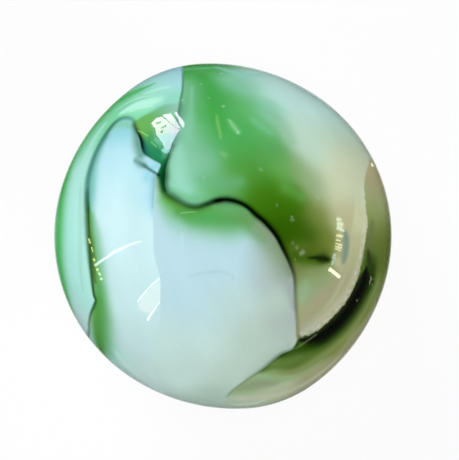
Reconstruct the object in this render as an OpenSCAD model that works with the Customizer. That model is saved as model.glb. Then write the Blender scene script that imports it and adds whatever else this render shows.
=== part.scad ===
// Swirl glass marble: one solid ball, sheared and rolled from hot glass.
//
// A gob of glass is sheared off at both ends and turned between two grooved
// rollers. The rollers make its middle true, and each sheared end stays a
// little proud, as a blunt point. So the form is a revolve about the line
// through the two ends, and its profile is five arcs, each tangent to the
// next: an end cap, a shoulder, the round middle, a shoulder and an end cap.
//
// The ends lie along X, because a ball that is longer one way comes to rest on
// its middle. The origin is the centre, and Z is up.

/* [Ball] */
// Diameter round the middle, where the rollers left it true
middle_d = 15.8; // [11.6:0.1:35]
// How far each sheared end stands out beyond a true ball of that diameter
end_rise = 0.3; // [0.05:0.05:0.75]

/* [Hidden] */
$fn = 192;

middle_r = middle_d / 2;

// Directions in the profile plane in which one arc hands over to the next, as
// seen from their centres: the axis is [0, 1] and the equator is [1, 0]. They are
// the 3-4-5 and 7-24-25 triangles, at 36.87 and 73.74 degrees of latitude.
// With them each radius and centre below is a short decimal, so arcs that
// should be tangent meet exactly and the revolve has no sliver faces.
to_shoulder = [0.8, 0.6];
to_cap = [0.28, 0.96];

// Tangent arcs share a line through both centres where they meet, and the
// cap's centre has to lie on the axis. Those two rules fix the radii: the
// shoulder is flatter than the middle, and the cap is tighter.
shoulder_gain = 3.5 * end_rise;
cap_loss = shoulder_gain * to_shoulder[0] / to_cap[0];
shoulder_r = middle_r + shoulder_gain;
cap_r = shoulder_r - cap_loss;
shoulder_centre = -shoulder_gain * to_shoulder;
cap_centre = shoulder_centre + cap_loss * to_cap;

// Further out than any part of the largest ball, and round, for the same reason
beyond = 100;

// The part of a disc that lies between two directions from its centre
module sector(centre, radius, from, to) {
    intersection() {
        translate(centre)
            circle(r = radius);
        polygon([centre, centre + beyond * from, centre + beyond * to]);
    }
}

// Shoulder and cap of one end, in the half plane that is revolved
module end_profile() {
    intersection() {
        union() {
            sector(shoulder_centre, shoulder_r, to_shoulder, to_cap);
            sector(cap_centre, cap_r, to_cap, [0, 1]);
        }
        square(beyond);
    }
}

module half_profile() {
    sector([0, 0], middle_r, [to_shoulder[0], -to_shoulder[1]], to_shoulder);
    end_profile();
    mirror([0, 1])
        end_profile();
}

// Opaque milk glass with ribbons of translucent green
module marble() {
    color("#B9DCD8")
        rotate([0, 90, 0])
            rotate_extrude()
                half_profile();
}

marble();
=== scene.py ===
import math

import bpy
import numpy as np
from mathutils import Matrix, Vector


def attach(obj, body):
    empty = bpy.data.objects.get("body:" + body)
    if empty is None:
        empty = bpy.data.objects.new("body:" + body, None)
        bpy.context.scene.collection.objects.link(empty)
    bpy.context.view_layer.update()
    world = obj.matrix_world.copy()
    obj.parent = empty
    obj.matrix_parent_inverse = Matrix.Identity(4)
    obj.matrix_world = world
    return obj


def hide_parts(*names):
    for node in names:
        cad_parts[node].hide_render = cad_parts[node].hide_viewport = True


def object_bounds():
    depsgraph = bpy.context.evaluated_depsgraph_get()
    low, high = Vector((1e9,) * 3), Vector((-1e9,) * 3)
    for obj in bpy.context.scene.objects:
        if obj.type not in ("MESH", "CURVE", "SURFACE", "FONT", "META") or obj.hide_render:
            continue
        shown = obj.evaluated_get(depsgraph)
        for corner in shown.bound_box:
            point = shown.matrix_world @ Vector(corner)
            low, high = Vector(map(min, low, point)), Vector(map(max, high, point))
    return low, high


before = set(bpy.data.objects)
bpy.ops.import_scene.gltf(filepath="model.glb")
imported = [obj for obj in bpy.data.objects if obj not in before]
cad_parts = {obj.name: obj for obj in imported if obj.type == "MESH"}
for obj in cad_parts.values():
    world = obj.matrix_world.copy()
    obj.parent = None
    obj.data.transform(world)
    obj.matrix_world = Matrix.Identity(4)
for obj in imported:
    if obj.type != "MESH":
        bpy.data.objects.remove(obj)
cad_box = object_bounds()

# ---------------------------------------------------------------------------------------------
# The ball.
# One lump of hot glass, cut from the stream with shears and rolled round between two grooved
# rollers. It stays a little long between the two shear cuts, and its skin waves very slightly.
# ---------------------------------------------------------------------------------------------
MM = 0.001
middle_radius = cad_box[1].z
end_rise = cad_box[1].x - cad_box[1].z

QUADS = 128                     # along each side of the six patches that the ball is wrapped in
WAVE_LENGTH = 5.0               # mm from one swell of the rolled skin to the next
WAVE_HEIGHT = 0.008             # mm
STILL = 0.6                     # the swell, from 0 to 1, at which the skin keeps its place
SHOULDER_GAIN = 3.5             # the shoulder's radius beyond the middle's, in end rises
CAP_LOSS = 6.5                  # how much smaller the cap's radius is, in end rises
TO_SHOULDER = (0.8, 0.6)        # where the shoulder starts, as shares of the radius out and along
TO_CAP = (0.28, 0.96)           # where the cap starts


def add(tree, kind, *plugs, out=0, wires={}, **settings):
    """Adds a node with its settings, wires or values for its sockets, and returns one output."""
    node = tree.nodes.new(kind)
    for name, value in settings.items():
        setattr(node, name, value)
    for name, plug in [*enumerate(plugs), *wires.items()]:
        if isinstance(plug, bpy.types.NodeSocket):
            tree.links.new(plug, node.inputs[name])
        else:
            node.inputs[name].default_value = plug
    return node.outputs[out] if node.outputs else node


def fresh_material(name):
    """A new material whose node tree is still empty."""
    material = bpy.data.materials.new(name)
    material.use_nodes = True
    material.node_tree.nodes.clear()
    return material


form = bpy.data.node_groups.new("rolled_ball", "GeometryNodeTree")
form.interface.new_socket("Geometry", in_out="OUTPUT", socket_type="NodeSocketGeometry")
form_sizes = {
    "Middle radius": middle_radius,
    "End rise": end_rise,
    "Wave length": WAVE_LENGTH * MM,
    "Wave height": WAVE_HEIGHT * MM,
}
for size_name in form_sizes:
    form.interface.new_socket(size_name, in_out="INPUT", socket_type="NodeSocketFloat")
form.interface.new_socket("Glass", in_out="INPUT", socket_type="NodeSocketMaterial")
given = form.nodes.new("NodeGroupInput").outputs
middle, rise = given["Middle radius"], given["End rise"]

# A cube's faces, bent so that their lines are evenly spaced in angle, and blown up to a ball.
block = add(form, "GeometryNodeMeshCube", (2.0, 2.0, 2.0), QUADS + 1, QUADS + 1, QUADS + 1)
place_on_block = add(form, "GeometryNodeInputPosition")
angles = add(form, "ShaderNodeVectorMath", place_on_block,
             wires={"Scale": math.pi / 4}, operation="SCALE")
even = add(form, "ShaderNodeVectorMath", angles, operation="TANGENT")
outward = add(form, "ShaderNodeVectorMath", even, operation="NORMALIZE")
along = add(form, "ShaderNodeMath", add(form, "ShaderNodeSeparateXYZ", outward),
            operation="ABSOLUTE")
along_squared = add(form, "ShaderNodeMath", along, along, operation="MULTIPLY")
across = add(form, "ShaderNodeMath",
             add(form, "ShaderNodeMath", 1.0, along_squared, operation="SUBTRACT"),
             operation="SQRT")


def reach_of_arc(centre_across, centre_along, gain):
    """How far out the arc lies, whose centre and gain in radius are given in end rises."""
    share_ahead = add(form, "ShaderNodeMath",
                      add(form, "ShaderNodeMath", across, centre_across, operation="MULTIPLY"),
                      add(form, "ShaderNodeMath", along, centre_along, operation="MULTIPLY"),
                      operation="ADD")
    ahead = add(form, "ShaderNodeMath", share_ahead, rise, operation="MULTIPLY")
    arc_radius = add(form, "ShaderNodeMath", rise, gain, middle, operation="MULTIPLY_ADD")
    centre_off = add(form, "ShaderNodeMath", rise, math.hypot(centre_across, centre_along),
                     operation="MULTIPLY")
    under_root = add(form, "ShaderNodeMath",
                     add(form, "ShaderNodeMath", ahead, ahead, operation="MULTIPLY"),
                     add(form, "ShaderNodeMath",
                         add(form, "ShaderNodeMath", arc_radius, arc_radius, operation="MULTIPLY"),
                         add(form, "ShaderNodeMath", centre_off, centre_off, operation="MULTIPLY"),
                         operation="SUBTRACT"),
                     operation="ADD")
    return add(form, "ShaderNodeMath", ahead,
               add(form, "ShaderNodeMath", under_root, operation="SQRT"), operation="ADD")


shoulder_reach = reach_of_arc(-SHOULDER_GAIN * TO_SHOULDER[0], -SHOULDER_GAIN * TO_SHOULDER[1],
                              SHOULDER_GAIN)
cap_reach = reach_of_arc(0.0, 1 + CAP_LOSS, -CAP_LOSS)
past_middle = add(form, "ShaderNodeMath", along, TO_SHOULDER[1], operation="GREATER_THAN")
cap_radius = add(form, "ShaderNodeMath", rise, -CAP_LOSS, middle, operation="MULTIPLY_ADD")
cap_from_along = add(form, "ShaderNodeMath", cap_radius, TO_CAP[1],
                     add(form, "ShaderNodeMath", rise, 1 + CAP_LOSS, operation="MULTIPLY"),
                     operation="MULTIPLY_ADD")
cap_from_across = add(form, "ShaderNodeMath", cap_radius, TO_CAP[0], operation="MULTIPLY")
past_shoulder = add(form, "ShaderNodeMath",
                    add(form, "ShaderNodeMath", along, cap_from_across, operation="MULTIPLY"),
                    add(form, "ShaderNodeMath", across, cap_from_along, operation="MULTIPLY"),
                    operation="GREATER_THAN")
side_reach = add(form, "GeometryNodeSwitch", past_middle, middle, shoulder_reach,
                 input_type="FLOAT")
ball_reach = add(form, "GeometryNodeSwitch", past_shoulder, side_reach, cap_reach,
                 input_type="FLOAT")
smooth_place = add(form, "ShaderNodeVectorMath", outward, wires={"Scale": ball_reach},
                   operation="SCALE")
swell = add(form, "ShaderNodeTexNoise", smooth_place,
            wires={"Scale": add(form, "ShaderNodeMath", 1.0, given["Wave length"],
                                operation="DIVIDE"),
                   "Detail": 1.0})
wave = add(form, "ShaderNodeMath", add(form, "ShaderNodeMath", swell, STILL, operation="SUBTRACT"),
           given["Wave height"], operation="MULTIPLY")
waved_place = add(form, "ShaderNodeVectorMath", smooth_place,
                  add(form, "ShaderNodeVectorMath", outward, wires={"Scale": wave},
                      operation="SCALE"),
                  operation="ADD")
ball_skin = add(form, "GeometryNodeSetPosition", block, wires={"Position": waved_place})
ball_skin = add(form, "GeometryNodeSetShadeSmooth", ball_skin)
ball_skin = add(form, "GeometryNodeRealizeInstances", ball_skin)
ball_skin = add(form, "GeometryNodeSetMaterial", ball_skin, wires={"Material": given["Glass"]})
add(form, "NodeGroupOutput", ball_skin)

glass = fresh_material("milk_and_green_swirl_glass")
shaper = bpy.data.objects.new("ball_shaper", bpy.data.meshes.new("ball_shaper"))
bpy.context.scene.collection.objects.link(shaper)
roll = shaper.modifiers.new("roll", "NODES")
roll.node_group = form
for socket in form.interface.items_tree:
    if socket.name in form_sizes:
        roll[socket.identifier] = form_sizes[socket.name]
    elif socket.name == "Glass":
        roll[socket.identifier] = glass
shaped = shaper.evaluated_get(bpy.context.evaluated_depsgraph_get())
ball = bpy.data.objects.new("swirl_glass_ball", bpy.data.meshes.new_from_object(shaped))
ball.data.name = "swirl_glass_ball"
bpy.context.scene.collection.objects.link(ball)
bpy.data.objects.remove(shaper)

# ---------------------------------------------------------------------------------------------
# The folds of the swirl.
# The pattern is in the glass: milk glass with green glass trailed into it, which the shearing
# and rolling has folded over itself. It is set out here in plan, as the ball lies on its side.
# ---------------------------------------------------------------------------------------------
LIE = 71.0                      # degrees from the ball's long axis to the plan's east
NOMINAL = 8.0                   # mm, the radius on which the pattern is set out
LINE_STEPS = 8                  # straight steps from one knot of a smooth line to the next
SOFT_FROM, SOFT_FULL = 4.0, -2.0    # mm up, where pools begin and end to melt more softly
SOFTER = 0.9                    # how much farther a pool reaches on the underside
TRACE = 1e-9                    # a pool's least share, so that no spot is left without a colour
east_way = np.array([math.cos(math.radians(LIE)), math.sin(math.radians(LIE)), 0.0])
north_way = np.array([-math.sin(math.radians(LIE)), math.cos(math.radians(LIE)), 0.0])
up_way = np.array([0.0, 0.0, 1.0])

corners = np.empty((len(ball.data.vertices), 3), np.float32)
ball.data.vertices.foreach_get("co", corners.ravel())
spots = (corners / np.linalg.norm(corners, axis=1)[:, None] * NOMINAL).astype(np.float32)


def on_ball(row):
    """A place (east, north) on the upper side, or (east, north, height), in mm on the ball."""
    east, north = row[0], row[1]
    height = row[2] if len(row) > 2 else math.sqrt(max(0.0, NOMINAL**2 - east**2 - north**2))
    place = east * east_way + north * north_way + np.array([0.0, 0.0, height])
    return place / np.linalg.norm(place) * NOMINAL


def smooth_line(knots, closed=False):
    """A smooth line through the knots, which may carry more numbers after their three."""
    knots = np.array(knots, float)
    if closed:
        before, after = np.roll(knots, 1, 0), np.roll(knots, -1, 0)
        spans = range(len(knots))
    else:
        before = np.vstack([2 * knots[0] - knots[1], knots[:-1]])
        after = np.vstack([knots[1:], 2 * knots[-1] - knots[-2]])
        spans = range(len(knots) - 1)
    line = []
    for i in spans:
        j = (i + 1) % len(knots)
        start, end = knots[i], knots[j]
        lead, trail = (end - before[i]) / 2, (after[j] - start) / 2
        for t in np.arange(LINE_STEPS) / LINE_STEPS:
            line.append((2 * t**3 - 3 * t**2 + 1) * start + (t**3 - 2 * t**2 + t) * lead
                        + (3 * t**2 - 2 * t**3) * end + (t**3 - t**2) * trail)
    line.append(knots[0] if closed else knots[-1])
    line = np.array(line)
    line[:, :3] *= NOMINAL / np.linalg.norm(line[:, :3], axis=1)[:, None]
    return line


def measure(line):
    """Each spot's distance to the line in mm, its side of it, and the line's numbers there."""
    nearest = np.argmax(spots @ line[:, :3].T.astype(np.float32), axis=1)
    best = np.full(len(spots), np.inf)
    side = np.zeros(len(spots))
    carried = np.zeros((len(spots), line.shape[1] - 3))
    for shift in (-1, 0):
        first = np.clip(nearest + shift, 0, len(line) - 2)
        start, end = line[first], line[first + 1]
        run = end[:, :3] - start[:, :3]
        share = np.clip(((spots - start[:, :3]) * run).sum(1) / (run**2).sum(1), 0, 1)
        touch = start + (end - start) * share[:, None]
        off = spots - touch[:, :3]
        far = np.linalg.norm(off, axis=1)
        nearer = far < best
        best = np.where(nearer, far, best)
        turn = (np.cross(run, off) * spots).sum(1)
        side = np.where(nearer, np.sign(turn), side)
        carried = np.where(nearer[:, None], touch[:, 3:], carried)
    return best, side, carried


def inside(line):
    """Whether each spot is inside a closed line, counted on a map centred on the line."""
    up = line[:, :3].mean(0)
    up /= np.linalg.norm(up)
    askew = [0.3, 0.5, 0.8]     # any way does that isn't the same as up
    side = np.cross(up, askew)
    side /= np.linalg.norm(side)
    other = np.cross(up, side)

    def on_map(places):
        """Places as x and y, each as far from the middle as the arc to it is long."""
        height = np.clip(places @ up / NOMINAL, -1, 1)
        flat = np.stack([places @ side, places @ other], 1)
        return flat * (np.arccos(height) / np.maximum(np.linalg.norm(flat, axis=1), 1e-9))[:, None]

    x, y = on_map(spots).T
    edge = on_map(line[:, :3])
    crossings = np.zeros(len(spots), int)
    for (x0, y0), (x1, y1) in zip(edge[:-1], edge[1:]):
        if y0 != y1:
            crossings += ((y0 > y) != (y1 > y)) & (x < x0 + (y - y0) * (x1 - x0) / (y1 - y0))
    return crossings % 2 == 1


def srgb(hex_colour):
    """An sRGB hex colour as a row of three values from 0 to 1."""
    return np.array([int(hex_colour[i:i + 2], 16) / 255 for i in (1, 3, 5)])


def linear(colour):
    """An sRGB hex colour, or rows of sRGB values from 0 to 1, as linear light."""
    value = srgb(colour) if isinstance(colour, str) else colour
    return np.where(value <= 0.04045, value / 12.92, ((value + 0.055) / 1.055) ** 2.4)


# The glasses, from the palest milk to the deepest green, and last a near-black that is painted
# shade.
ICE = "#D2F5F9"
FROST = "#BFEEF9"
POOL = "#AEE2F6"
SKY = "#94DAE2"
MILK = "#BFE2EC"
MIST = "#C4E1DA"
CLOUD = "#BDD5C8"
SLATE = "#B3C3BC"
AQUA = "#B4F0E4"
SPRAY = "#C0FFEC"
MINT = "#86E0AE"
SEA = "#8AD2B0"
JADE = "#88CAA8"
PEARL = "#CBF3EC"
BONE = "#C4E4D0"
CREAM = "#D6E0BE"
STRAW = "#C4C498"
DRAB = "#AAAC84"
SAGE = "#9CB888"
KHAKI = "#90A262"
BRACKEN = "#748636"
LICHEN = "#8AA282"
ASH = "#CCD0B2"
REED = "#66A090"
GRASS = "#58CC6C"
SPRING = "#64BE6E"
MEADOW = "#6DB75C"
LEAF = "#4EB058"
FERN = "#5EAA5E"
MOSS = "#569F42"
TEAL = "#349A6A"
EMERALD = "#1E8450"
BOTTLE = "#16683C"
OLIVE = "#3F790E"
LOAM = "#587630"
FOREST = "#305A02"
PAINTED_SHADE_BLACK = "#020501"


def lay(fold, pools, washes):
    """Paints a fold: pools of colour (colour, size in mm, place) that melt into each other, more
    softly toward the underside, then washes over them (colour, strength, knots), where a knot's
    last number is its reach."""
    paint, shares = 0.0, 0.0
    below = np.clip((SOFT_FROM - spots[:, 2]) / (SOFT_FROM - SOFT_FULL), 0, 1)
    softer = 1 + SOFTER * below
    for colour, size, place in pools:
        far = np.linalg.norm(spots - on_ball(place), axis=1)
        share = np.exp(-((far / size / softer) ** 2))[:, None] + TRACE
        paint = paint + srgb(colour) * share
        shares = shares + share
    paint = paint / shares
    for colour, strength, knots in washes:
        far, _, reach = measure(smooth_line([[*on_ball(knot[:-1]), knot[-1]] for knot in knots]))
        cover = (strength * np.exp(-((far / reach[:, 0]) ** 2)))[:, None]
        paint = paint * (1 - cover) + srgb(colour) * cover
    layer = ball.data.attributes.new(fold + "_glass", "FLOAT_COLOR", "POINT")
    layer.data.foreach_set("color", np.c_[linear(paint), np.ones(len(spots))].ravel())


def cut(fold, knots):
    """Stores how far inside a fold's outline each spot is, in mm."""
    line = smooth_line([on_ball(knot) for knot in knots], closed=True)
    far, _, _ = measure(line)
    layer = ball.data.attributes.new(fold + "_edge", "FLOAT", "POINT")
    layer.data.foreach_set("value", np.where(inside(line), far, -far))


def inked(edge, inks):
    """A seam's knots along a fold's edge: each place with its darkness and its two fades."""
    return [(*place, *ink) for place, ink in zip(edge, inks, strict=True)]


def draw_seam(seam, knots):
    """Stores how far each spot is to the left of a seam, how dark the seam is there, and how
    far it fades to its left and right. A knot is a place, a darkness and the two fades in mm.
    The seam dies out at both its ends."""
    line = smooth_line([[*on_ball(knot[:-3]), *knot[-3:]] for knot in knots])
    line[[0, -1], 3] = 0.0
    far, side, carried = measure(line)
    layer = ball.data.attributes.new(seam + "_seam", "FLOAT_COLOR", "POINT")
    layer.data.foreach_set("color", np.c_[far * side, carried].ravel())


# Milk body: what everything else is folded over. Green glass shows at its west side.
lay("body", [
    (MILK, 1.7, (-1.4, -1.4)), (MILK, 1.4, (0.6, -1.0)), (MILK, 1.4, (-1.4, -3.0)),
    (MIST, 1.2, (0.4, -3.2)), ("#CAE8E2", 1.7, (-1.4, -5.0)), ("#CAE8E0", 1.2, (-1.9, -6.6)),
    (CLOUD, 1.2, (1.4, -4.6)), (CLOUD, 1.4, (0.6, -6.2)), ("#B0CABC", 1.0, (-0.2, -7.3)),
    (SLATE, 1.0, (2.3, -1.6)), (SLATE, 0.8, (2.8, -4.0)), (CLOUD, 0.6, (2.7, -2.9)),
    (MILK, 0.8, (-2.5, -0.2)),
    (POOL, 1.1, (-2.1, 7.3)), (AQUA, 1.0, (-2.9, 6.9)), ("#98E4CC", 0.6, (-2.4, 6.4)),
    (MINT, 1.0, (-3.9, 6.2)), (MINT, 1.1, (-5.2, 5.3)), (MINT, 0.6, (-6.2, 4.4)),
    (AQUA, 1.0, (-6.6, 3.0)), (AQUA, 1.1, (-6.9, 1.3)), (AQUA, 1.1, (-6.9, -0.6)),
    (AQUA, 1.1, (-6.7, -2.4)), ("#CCF2EE", 0.8, (-6.6, -3.9)),
    (MINT, 1.2, (-7.0, 4.0, -0.6)), (SEA, 1.5, (-5.8, 4.8, -2.8)), (JADE, 1.6, (-6.5, 2.0, -4.3)),
    (AQUA, 1.6, (-5.7, -0.7, -5.6)), (SEA, 1.5, (-5.2, -3.0, -5.3)), (MIST, 1.5, (-4.1, -5.6, -4.0)),
    (CLOUD, 1.2, (-1.8, -7.4, -2.4)), (PEARL, 1.2, (-7.8, 1.0, -1.6)),
    (PEARL, 1.2, (-7.3, -2.5, -2.1)), (PEARL, 1.0, (-5.7, -5.3, -2.0)),
], [
    (SEA, 0.8, [(-5.0, 6.1, -1.3, 0.2), (-6.2, 4.4, -2.4, 0.7), (-6.9, 2.4, -3.3, 1.0),
                (-6.8, -0.1, -4.2, 1.2), (-6.1, -2.6, -4.4, 1.0), (-4.9, -4.8, -4.1, 0.7),
                (-3.0, -6.5, -3.6, 0.4), (-1.2, -7.5, -2.5, 0.15)]),
    (LEAF, 0.8, [(-5.6, 5.4, -1.9, 0.1), (-6.6, 3.7, -2.7, 0.3), (-7.1, 1.9, -3.2, 0.55),
                 (-6.9, 0.1, -4.1, 0.7), (-6.3, -2.0, -4.5, 0.6), (-5.5, -4.0, -4.2, 0.35),
                 (-4.1, -5.7, -3.9, 0.15)]),
    (MOSS, 0.8, [(-7.0, 2.6, -2.9, 0.1), (-7.2, 1.1, -3.4, 0.3), (-6.8, -0.6, -4.3, 0.4),
                 (-6.4, -2.0, -4.4, 0.25), (-5.9, -3.2, -4.3, 0.1)]),
    (ICE, 0.7, [(-4.9, 5.2, -3.6, 0.15), (-5.3, 3.2, -5.1, 0.35), (-5.0, 1.0, -6.2, 0.5),
                (-4.1, -1.2, -6.8, 0.45), (-3.5, -3.6, -6.3, 0.35), (-2.6, -5.6, -5.1, 0.2)]),
    (JADE, 0.6, [(-5.0, 4.2, -4.7, 0.1), (-4.7, 2.2, -6.1, 0.25), (-3.5, 0.2, -7.2, 0.3),
                 (-2.7, -2.0, -7.3, 0.3), (-2.7, -4.2, -6.3, 0.2)]),
    (AQUA, 0.9, [(-5.5, 5.2, 0.15), (-5.85, 4.75, 0.3), (-6.1, 4.35, 0.35), (-6.35, 3.8, 0.35),
                 (-6.6, 3.2, 0.3)]),
    (SPRAY, 0.95, [(-4.7, 5.7, 0.15), (-4.2, 5.95, 0.4), (-3.8, 6.1, 0.5), (-3.4, 6.15, 0.5),
                   (-3.0, 6.25, 0.3)]),
    (SPRAY, 0.7, [(-3.6, 6.55, 0.08), (-3.0, 6.75, 0.15), (-2.5, 6.85, 0.12)]),
    ("#84CCA4", 0.6, [(-4.6, 5.95, 0.04), (-4.0, 6.22, 0.07), (-3.3, 6.4, 0.04)]),
    ("#D4FFF0", 0.6, [(-4.9, 5.85, 0.04), (-4.3, 6.2, 0.06), (-3.7, 6.42, 0.04)]),
    ("#D4FFF0", 0.6, [(-4.3, 5.75, 0.04), (-3.8, 5.92, 0.06), (-3.2, 6.0, 0.04)]),
    (GRASS, 0.95, [(-3.1, 7.0, 2.3, 0.05), (-3.6, 6.8, 2.2, 0.2), (-4.3, 6.5, 1.8, 0.42),
                   (-5.1, 6.1, 1.2, 0.6), (-5.9, 5.3, 1.0, 0.6), (-6.5, 4.55, 1.0, 0.6),
                   (-7.0, 3.6, 1.2, 0.6), (-7.4, 2.5, 1.6, 0.7), (-7.6, 1.2, 2.0, 0.82),
                   (-7.67, 0.0, 2.1, 0.87), (-7.65, -1.1, 1.9, 0.85), (-7.5, -2.2, 1.6, 0.75),
                   (-7.25, -3.2, 1.2, 0.42), (-6.95, -4.0, 0.6, 0.15)]),
    ("#A8D8CA", 0.5, [(-6.6, 2.3, 0.08), (-6.6, 1.0, 0.2), (-6.6, -0.2, 0.2), (-6.6, -1.4, 0.2),
                      (-6.5, -2.5, 0.1)]),
    ("#B8F0E4", 0.5, [(-7.1, 1.6, 0.06), (-7.1, 0.4, 0.1), (-7.08, -0.8, 0.1), (-7.0, -2.0, 0.05)]),
    (JADE, 0.9, [(-2.6, 1.6, 0.4), (-2.1, 0.9, 0.58), (-1.0, 0.8, 0.8), (0.3, 0.75, 0.85),
                 (1.2, 0.6, 0.75), (1.8, 0.1, 0.4)]),
    ("#6CB45E", 0.9, [(-2.55, 1.8, 0.4), (-2.2, 1.45, 0.42), (-1.6, 1.2, 0.35)]),
    (FERN, 1.0, [(-2.0, 1.1, 0.25), (-1.3, 0.95, 0.5), (-0.5, 0.87, 0.6), (0.1, 0.83, 0.66),
                 (0.6, 0.83, 0.6), (1.0, 0.78, 0.4)]),
    (LEAF, 0.6, [(-1.7, 1.1, 0.2), (-1.2, 1.0, 0.4), (-0.5, 1.0, 0.4)]),
    (FERN, 0.8, [(-0.4, 1.3, 0.3), (0.3, 1.45, 0.3), (0.9, 1.3, 0.35), (1.5, 0.85, 0.25)]),
    ("#6CA260", 0.9, [(0.9, 0.9, 0.3), (1.3, 0.6, 0.45), (1.7, 0.2, 0.35), (1.95, -0.2, 0.15)]),
    ("#88B894", 0.6, [(1.5, 0.3, 0.2), (1.9, -0.1, 0.35), (2.2, -0.5, 0.25)]),
    (LICHEN, 0.5, [(1.6, 0.4, 0.3), (1.9, -0.1, 0.65), (2.3, -0.8, 0.65), (2.7, -1.6, 0.5)]),
    ("#A4B0AC", 0.8, [(2.8, -1.2, 0.2), (3.0, -1.9, 0.3), (3.15, -2.6, 0.25), (3.3, -3.3, 0.15)]),
    # Painted shade: a grey band on the milk beside the skirt's seam.
    ("#A4B8AA", 0.4, [(3.05, -5.0, 0.2), (2.5, -5.5, 0.5), (1.8, -6.05, 0.5), (1.1, -6.55, 0.2)]),
    (LICHEN, 1.0, [(1.75, 0.7, 0.2), (2.2, 0.05, 0.4), (2.55, -0.5, 0.45), (2.85, -1.1, 0.35),
                   (3.05, -1.75, 0.15)]),
    (MOSS, 0.8, [(-2.7, 2.9, 0.35), (-2.75, 2.4, 0.32), (-2.6, 1.9, 0.22), (-2.1, 1.4, 0.2),
                 (-1.6, 1.22, 0.25), (-1.1, 1.2, 0.22), (-0.6, 1.3, 0.15)]),
])

# The gap between the folds, where clear bottle green lies over the milk.
cut("gap", [(-4.2, 5.2), (-3.9, 5.4), (-3.65, 5.55), (-3.25, 5.75), (-2.9, 5.95), (-2.4, 6.1),
            (-1.2, 5.9), (-1.6, 4.0), (-2.0, 2.6), (-2.7, 2.0), (-3.0, 2.7), (-4.0, 3.6),
            (-4.5, 4.6)])
lay("gap", [
    (MEADOW, 0.9, (-4.0, 5.2)), (MEADOW, 0.9, (-3.2, 5.1)), ("#78C09C", 0.6, (-2.8, 5.85)),
    ("#A4D8CA", 0.6, (-2.2, 6.0)), (TEAL, 0.7, (-3.4, 4.1)), (TEAL, 0.7, (-2.4, 4.8)),
    (EMERALD, 0.7, (-2.9, 3.6)), (BOTTLE, 0.5, (-2.6, 2.9)),
], [
    ("#1E6C64", 0.7, [(-3.85, 4.5, 0.12), (-3.65, 4.1, 0.25), (-3.5, 3.75, 0.25)]),
    (SEA, 0.5, [(-3.1, 4.45, 0.15), (-2.8, 4.3, 0.2)]),
    ("#5CB08C", 0.8, [(-2.6, 4.0, 0.1), (-2.62, 3.7, 0.2)]),
    (REED, 0.8, [(-2.0, 5.3, 0.1), (-2.15, 4.8, 0.2), (-2.3, 4.3, 0.2), (-2.45, 3.9, 0.15)]),
])

# West fold: a tusk of the palest milk, from a tip up at the gap down to the ball's foot.
TUSK_FOOT = [(-6.0, -3.25), (-6.15, -3.6), (-6.25, -4.05), (-6.3, -4.55), (-6.1, -5.0, -1.1),
             (-5.3, -5.7, -1.9), (-4.0, -6.6, -2.2), (-2.4, -7.4, -1.9), (-0.9, -7.8, -1.3)]
cut("tusk", [(-4.15, 5.3), (-4.3, 5.45), (-4.65, 5.45), (-5.0, 5.25), (-5.35, 4.85), (-5.7, 4.35),
             (-5.9, 3.9), (-6.1, 3.35), (-6.2, 2.9), (-6.25, 2.25), (-6.25, 1.65),
             (-6.25, 1.0), (-6.22, 0.2), (-6.18, -0.65), (-6.1, -1.8), (-5.99, -2.75),
             (-5.9, -2.95), *TUSK_FOOT, (-1.9, -7.75, -0.4), (-2.6, -7.5), (-2.95, -6.85),
             (-3.2, -6.1), (-3.2, -5.25), (-3.05, -4.4), (-2.9, -3.85),
             (-2.85, -2.9), (-2.85, -2.0), (-2.95, -1.5), (-3.15, -0.65), (-3.15, 0.2),
             (-3.2, 1.0), (-3.15, 1.65), (-3.1, 2.25), (-3.05, 2.75), (-3.0, 2.85),
             (-2.9, 3.1), (-2.85, 3.3), (-3.1, 3.45), (-3.35, 3.6), (-3.6, 3.8), (-3.7, 4.05),
             (-3.8, 4.4), (-3.95, 4.8)])
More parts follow.
